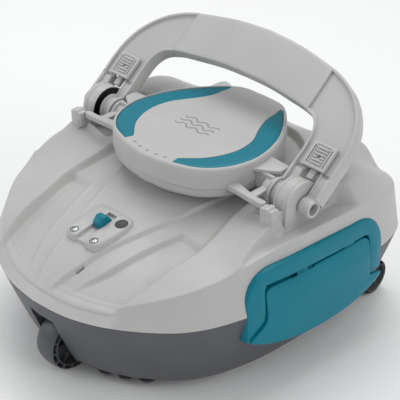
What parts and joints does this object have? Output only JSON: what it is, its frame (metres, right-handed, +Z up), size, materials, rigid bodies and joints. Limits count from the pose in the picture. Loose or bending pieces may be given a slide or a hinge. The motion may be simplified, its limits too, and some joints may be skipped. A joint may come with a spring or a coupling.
{
  "type": "pool cleaner",
  "caption": "Low battery pool floor cleaner with a folding carrying handle, hinged side doors, round motor pod, switch plate and wheels.",
  "frame": {"origin": "on the pool floor under the middle of the footprint", "axes": "+Z up, -Y towards the nose with the front wheel, +X towards the right-hand door"},
  "size_m": [0.3536, 0.365, 0.2647],
  "materials": {
    "shell_grey_abs": "fine satin moulded ABS, warm light grey",
    "hull_grey_abs": "satin moulded ABS, dark grey",
    "teal_abs": "smooth moulded ABS, teal",
    "wheel_rubber": "dark grey moulded wheel plastic with a soft tread",
    "stainless_steel": "turned stainless steel",
    "inner_grey_pp": "plain moulded polypropylene, mid grey",
    "filter_white": "woven nylon filter mesh, off white",
    "lamp_clear": "clear light guide",
    "seal_epdm": "black EPDM rubber",
    "port_rubber": "dark grey silicone rubber",
    "battery_wrap": "blue shrink wrap",
    "board_green": "solder mask green"
  },
  "bodies": {
    "body": {"top_shell": "shell_grey_abs", "pod_lower": "shell_grey_abs", "pod_cover": "shell_grey_abs", "switch_plate": "shell_grey_abs", "hinge_block_right": "shell_grey_abs", "side_arm_right": "shell_grey_abs", "hinge_block_left": "shell_grey_abs", "side_arm_left": "shell_grey_abs", "base_hull": "hull_grey_abs", "skid_right": "hull_grey_abs", "skid_left": "hull_grey_abs", "door_frame_right": "teal_abs", "crescent_right": "teal_abs", "door_frame_left": "teal_abs", "crescent_left": "teal_abs", "front_axle": "stainless_steel", "motor_can": "stainless_steel", "rear_axle_right": "stainless_steel", "flap_pin_right": "stainless_steel", "pivot_pin_right": "stainless_steel", "plate_screw_right": "stainless_steel", "rear_axle_left": "stainless_steel", "flap_pin_left": "stainless_steel", "pivot_pin_left": "stainless_steel", "plate_screw_left": "stainless_steel", "intake_grille": "inner_grey_pp", "intake_seat": "inner_grey_pp", "pump_volute": "inner_grey_pp", "outlet_pipe": "inner_grey_pp", "filter_tray_right": "inner_grey_pp", "filter_tray_left": "inner_grey_pp", "filter_mesh_right": "filter_white", "filter_mesh_left": "filter_white", "lamp_guide": "lamp_clear", "pod_seal": "seal_epdm", "battery_pack": "battery_wrap", "control_board": "board_green"},
    "handle": {"handle_frame": "shell_grey_abs", "handle_grip": "shell_grey_abs", "latch_spring_right": "stainless_steel", "latch_spring_left": "stainless_steel"},
    "latch_right": {"latch_slider_right": "shell_grey_abs"},
    "latch_left": {"latch_slider_left": "shell_grey_abs"},
    "flap_right": {"side_flap_right": "teal_abs"},
    "flap_left": {"side_flap_left": "teal_abs"},
    "wheel_front": {"front_wheel": "wheel_rubber"},
    "wheel_right": {"rear_wheel_right": "wheel_rubber"},
    "wheel_left": {"rear_wheel_left": "wheel_rubber"},
    "rotor": {"impeller": "inner_grey_pp"},
    "valve": {"intake_valve": "seal_epdm"},
    "switch": {"power_switch": "teal_abs"},
    "port_cap": {"charging_cap": "port_rubber"}
  },
  "joints": [
    {"name": "handle_pivot", "type": "hinge", "parent": "body", "child": "handle", "pos_m": [0, 0.0255, 0.17], "axis": [1, 0, 0], "range_deg": [-10, 95]},
    {"name": "latch_slide_right", "type": "slide", "parent": "handle", "child": "latch_right", "axis": [0, 0.7771, 0.6293], "range_m": [0, 0.007], "stiffness_N_per_m": 250, "springref_m": -0.008, "deforming": ["latch_spring_right"]},
    {"name": "latch_slide_left", "type": "slide", "parent": "handle", "child": "latch_left", "axis": [0, 0.7771, 0.6293], "range_m": [0, 0.007], "stiffness_N_per_m": 250, "springref_m": -0.008, "deforming": ["latch_spring_left"]},
    {"name": "flap_hinge_right", "type": "hinge", "parent": "body", "child": "flap_right", "pos_m": [0.1615, 0.0325, 0.111], "axis": [0, -1, 0], "range_deg": [0, 70]},
    {"name": "flap_hinge_left", "type": "hinge", "parent": "body", "child": "flap_left", "pos_m": [-0.1615, 0.0325, 0.111], "axis": [0, 1, 0], "range_deg": [0, 70]},
    {"name": "front_wheel_spin", "type": "hinge", "parent": "body", "child": "wheel_front", "pos_m": [0, -0.1445, 0.03], "axis": [1, 0, 0], "continuous": true},
    {"name": "rear_wheel_spin_right", "type": "hinge", "parent": "body", "child": "wheel_right", "pos_m": [0.13, 0.1545, 0.02], "axis": [1, 0, 0], "continuous": true},
    {"name": "rear_wheel_spin_left", "type": "hinge", "parent": "body", "child": "wheel_left", "pos_m": [-0.13, 0.1545, 0.02], "axis": [1, 0, 0], "continuous": true},
    {"name": "impeller_spin", "type": "hinge", "parent": "body", "child": "rotor", "pos_m": [0, 0.0325, 0.11], "axis": [0, 0, 1], "continuous": true},
    {"name": "intake_valve_hinge", "type": "hinge", "parent": "body", "child": "valve", "pos_m": [0, 0.0075, 0.0215], "axis": [-1, 0, 0], "range_deg": [0, 70]},
    {"name": "power_switch_slide", "type": "slide", "parent": "body", "child": "switch", "axis": [0, -0.9877, -0.1564], "range_m": [0, 0.006]},
    {"name": "charging_cap_pull", "type": "slide", "parent": "body", "child": "port_cap", "axis": [0, -0.1564, 0.9877], "range_m": [0, 0.012]}
  ]
}
